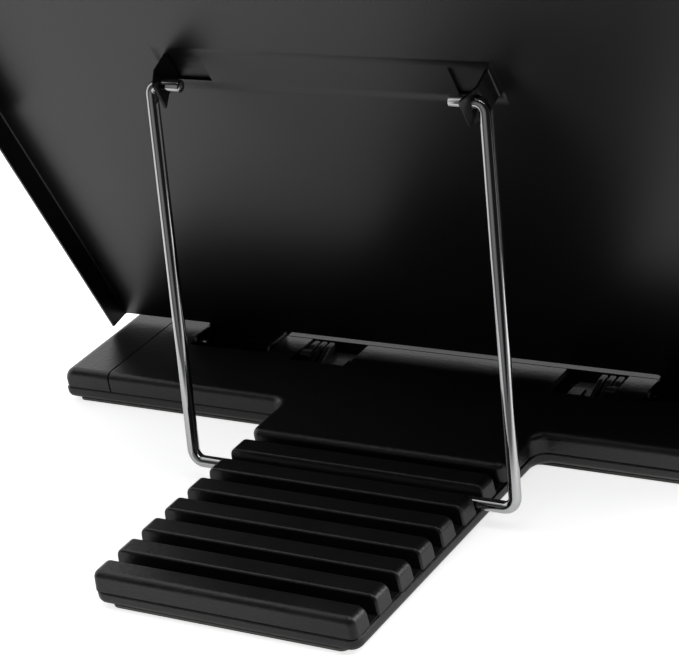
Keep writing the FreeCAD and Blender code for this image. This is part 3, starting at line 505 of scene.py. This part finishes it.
# ---------------------------------------------------------------- new pieces
class COPYHOLDER_OT_bail(bpy.types.Operator):
    """Bend the wire bail: one half along its leg and bends, then mirrored"""

    bl_idname = "copyholder.bail"
    bl_label = "Wire bail"

    def execute(self, context):
        metal = context.scene.copy_holder_metal
        half_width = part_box("wire_bail")[1].x - metal.wire_radius
        leg = (FOOT - PIVOT).normalized()
        leg_length = (FOOT - PIVOT).length
        end = PIVOT + X * -WIRE_INNER_END
        deselect_all()
        bpy.ops.mesh.primitive_circle_add(
            vertices=WIRE_SIDES, radius=metal.wire_radius, fill_type="NOTHING", location=end,
            rotation=(-X).to_track_quat("Z", "Y").to_euler(),
        )
        bail = start_piece("wire_bail_bent")
        bpy.ops.object.mode_set(mode="OBJECT")
        bpy.ops.object.transform_apply(location=True, rotation=True, scale=True)
        bpy.ops.object.mode_set(mode="EDIT")
        bpy.ops.mesh.select_all(action="SELECT")

        def run(vector, parts=1):
            for _ in range(parts):
                bpy.ops.mesh.extrude_region_move(TRANSFORM_OT_translate={"value": vector / parts})

        def bend(centre):
            bpy.ops.mesh.spin(
                steps=BEND_STEPS, angle=math.radians(-90), axis=X.cross(leg) * -1, center=centre,
            )

        run(X * -(half_width - metal.top_bend - WIRE_INNER_END))
        bend(PIVOT + X * -half_width + X * metal.top_bend + leg * metal.top_bend)
        run(leg * (leg_length - metal.top_bend - metal.foot_bend), LEG_PARTS)
        bend(FOOT + X * -half_width + X * metal.foot_bend - leg * metal.foot_bend)
        run(X * (half_width - metal.foot_bend), FOOT_PARTS)
        self.round_end(bail, end)
        mirror = bail.modifiers.new("Other half", "MIRROR")
        mirror.merge_threshold = MIRROR_GAP
        settle(bail, "bail", finish("plating"), "wire_bail", crease=50)
        return {"FINISHED"}

    def round_end(self, bail, end):
        """Close the wire's free end with a small dome."""
        bpy.ops.mesh.select_all(action="DESELECT")
        mesh = bmesh.from_edit_mesh(bail.data)
        for vertex in mesh.verts:
            vertex.select = abs(vertex.co.x - end.x) < SAME_PLACE
        mesh.select_flush(True)
        bmesh.update_edit_mesh(bail.data)
        for step, share in END_ROUNDING:
            bpy.ops.mesh.extrude_region_move(TRANSFORM_OT_translate={"value": X * step})
            bpy.ops.transform.resize(value=(1, share, share), center_override=end)
        bpy.ops.mesh.edge_face_add()
        bpy.ops.object.mode_set(mode="OBJECT")


class COPYHOLDER_OT_release_springs(bpy.types.Operator):
    """Wind the coil springs behind the release slides"""

    bl_idname = "copyholder.release_springs"
    bl_label = "Release springs"

    def execute(self, context):
        for side in ("right", "left"):
            node = side + "_release_spring"
            low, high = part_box(node)
            centre = (low + high) / 2
            length = high.x - low.x - 2 * COIL_WIRE_RADIUS
            radius = (high.y - low.y) / 2 - COIL_WIRE_RADIUS
            deselect_all()
            bpy.ops.mesh.primitive_circle_add(
                vertices=COIL_WIRE_SIDES, radius=COIL_WIRE_RADIUS, fill_type="NOTHING",
            )
            spring = start_piece(side + "_release_coil")
            bpy.ops.mesh.select_all(action="SELECT")
            bpy.ops.transform.translate(value=(radius, 0, 0))
            bpy.ops.object.mode_set(mode="OBJECT")
            for vertex in spring.data.vertices:
                vertex.co = Vector((vertex.co.x, 0, vertex.co.y))
            screw = spring.modifiers.new("Coil", "SCREW")
            screw.screw_offset = length / COIL_TURNS
            screw.iterations = COIL_TURNS
            screw.steps = COIL_STEPS
            screw.render_steps = COIL_STEPS
            screw.use_merge_vertices = True
            apply_modifiers(spring)
            start = Vector((low.x + COIL_WIRE_RADIUS, centre.y, centre.z))
            spring.data.transform(Matrix.Rotation(math.radians(90), 4, "Y"))
            spring.data.transform(Matrix.Translation(start))
            settle(spring, "base", finish("spring_steel"), node, crease=60)
            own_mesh(spring)
        return {"FINISHED"}


# ---------------------------------------------------------------- studio
class COPYHOLDER_OT_studio(bpy.types.Operator):
    """Lay the pale floor and set up soft lamps and the camera"""

    bl_idname = "copyholder.studio"
    bl_label = "Studio"

    def execute(self, context):
        studio = context.scene.copy_holder_studio
        self.lay_floor(tuple(studio.floor_colour))
        self.set_world()
        self.hang_lamps()
        self.set_camera(studio.lens)
        context.scene.view_settings.view_transform = "Standard"
        return {"FINISHED"}

    def lay_floor(self, colour):
        deselect_all()
        bpy.ops.mesh.primitive_plane_add(
            size=FLOOR_SIZE, location=TOWARDS_CAMERA * (FLOOR_NEAR_EDGE - FLOOR_SIZE / 2),
            rotation=(0, 0, math.atan2(TOWARDS_CAMERA.y, TOWARDS_CAMERA.x)),
        )
        floor = bpy.context.object
        floor.name = "floor"
        floor.data.materials.append(self.floor_paper(colour))

    def floor_paper(self, colour):
        """Pale paper that shows white, and in mirrors shows a painted glow round the holder and
        painted shade in front of the camera.
        """
        made = Finish("floor_paper")
        made.set(Specular_IOR_Level=0.2)
        cloud = made.noise(1.5, 2)
        shade = made.ranged(cloud, 0.3, 0.7, 0, 1)
        made.to(made.mixed(shade, lighter(colour, 0.985), colour), "Base Color")
        made.to(made.ranged(cloud, 0.3, 0.7, 0.6, 0.7), "Roughness")
        paper = made.shader.outputs[0]
        lifted = made.summed(paper, made.lit("ShaderNodeEmission", 0.75))
        # Painted reflection: mirrors see a glowing floor round the holder and a painted dark floor
        # in front of the camera. Both are set by place, not by the lamps.
        parts = made.add("ShaderNodeSeparateXYZ")
        made.link(made.place, parts.inputs[0])
        forward, across = parts.outputs["X"], parts.outputs["Y"]
        sideways = made.ranged(made.maths("ABSOLUTE", across, 0.0), 0.22, 0.36, 0, 0.17, True)
        nearness = made.maths("ADD", forward, sideways)
        middle = FLOOR_SIZE / 2 - FLOOR_NEAR_EDGE
        dim = made.ranged(nearness, middle + 0.11, middle + 0.18, 0, 0.85, True)
        close = made.ranged(nearness, middle + 0.06, middle + 0.14, 1, 0, True)
        # Painted glow near the holder, seen only in mirrors.
        bright = made.maths("MULTIPLY", close, made.ranged(across, -0.02, 0.10, 0.29, 0.62))
        # Painted shade: in mirrors, a near-black glow takes the paper's place in front of the
        # camera.
        painted_dark_reflection = made.blended(dim, paper, made.lit("ShaderNodeEmission", 0.02))
        mirrored = made.summed(painted_dark_reflection, made.lit("ShaderNodeEmission", bright))
        direct, glossy = made.rays()
        shown = made.blended(direct, made.blended(glossy, paper, mirrored), lifted)
        made.link(shown, made.output.inputs["Surface"])
        return made.material

    def set_world(self):
        """Light comes from behind and beside the holder, and the room behind the camera is dim."""
        world = bpy.data.worlds.new("studio_world")
        bpy.context.scene.world = world
        world.use_nodes = True
        made = Nodes(world.node_tree)
        direction = made.add("ShaderNodeTexCoord").outputs["Generated"]

        def towards(axis, low, high, strength):
            dot = made.add("ShaderNodeVectorMath", operation="DOT_PRODUCT")
            dot.inputs[1].default_value = axis
            made.link(direction, dot.inputs[0])
            return made.ranged(dot.outputs["Value"], low, high, 0, strength, True)

        backdrop = towards((0.37, -0.93, 0.0), -0.45, 0.3, 1.1)
        window = towards((0.1, 0.99, 0.05), 0.75, 1.0, 0.22)
        strength = made.maths("ADD", made.maths("ADD", backdrop, window), 0.014)
        light = made.lit("ShaderNodeBackground", strength)
        seen = made.lit("ShaderNodeBackground", 1.0)
        direct, _ = made.rays()
        output = made.add("ShaderNodeOutputWorld")
        made.link(made.blended(direct, light, seen), output.inputs["Surface"])

    def hang_lamps(self):
        for name, place, size, power in LAMPS:
            data = bpy.data.lights.new(name, "AREA")
            data.shape = "SQUARE"
            data.size = size
            data.energy = power
            lamp = bpy.data.objects.new(name, data)
            bpy.context.scene.collection.objects.link(lamp)
            lamp.location = place
            lamp.visible_camera = False
            lamp.rotation_euler = (LAMP_AIM - Vector(place)).to_track_quat("-Z", "Y").to_euler()

    def set_camera(self, lens):
        data = bpy.data.cameras.new("camera")
        data.lens = lens
        data.sensor_width = SENSOR_WIDTH
        data.clip_start = 0.01
        data.clip_end = 50
        camera = bpy.data.objects.new("camera", data)
        bpy.context.scene.collection.objects.link(camera)
        camera.location = CAMERA_PLACE
        camera.rotation_euler = Euler([math.radians(angle) for angle in CAMERA_TURN])
        bpy.context.scene.camera = camera


class COPYHOLDER_PT_panel(bpy.types.Panel):
    """Lists the copy holder's pieces and settings"""

    bl_label = "Copy Holder"
    bl_idname = "COPYHOLDER_PT_panel"
    bl_space_type = "VIEW_3D"
    bl_region_type = "UI"
    bl_category = "Copy Holder"

    def draw(self, context):
        column = self.layout.column(align=True)
        for operator in OPERATORS:
            column.operator(operator.bl_idname)
        for name, group in GROUPS.items():
            for setting in group.__annotations__:
                self.layout.prop(getattr(context.scene, name), setting)


OPERATORS = (
    COPYHOLDER_OT_base,
    COPYHOLDER_OT_plate,
    COPYHOLDER_OT_pivots,
    COPYHOLDER_OT_line_guide,
    COPYHOLDER_OT_bail,
    COPYHOLDER_OT_release_springs,
    COPYHOLDER_OT_studio,
)
GROUPS = {
    "copy_holder_plastic": CopyHolderPlastic,
    "copy_holder_metal": CopyHolderMetal,
    "copy_holder_studio": CopyHolderStudio,
}


def register():
    for item in (*GROUPS.values(), *OPERATORS, COPYHOLDER_PT_panel):
        bpy.utils.register_class(item)
    for name, group in GROUPS.items():
        setattr(bpy.types.Scene, name, PointerProperty(type=group))


def unregister():
    for name in GROUPS:
        delattr(bpy.types.Scene, name)
    for item in reversed((*GROUPS.values(), *OPERATORS, COPYHOLDER_PT_panel)):
        bpy.utils.unregister_class(item)


def main():
    register()
    for operator in OPERATORS:
        group, name = operator.bl_idname.split(".")
        getattr(getattr(bpy.ops, group), name)()


if __name__ == "__main__":
    main()
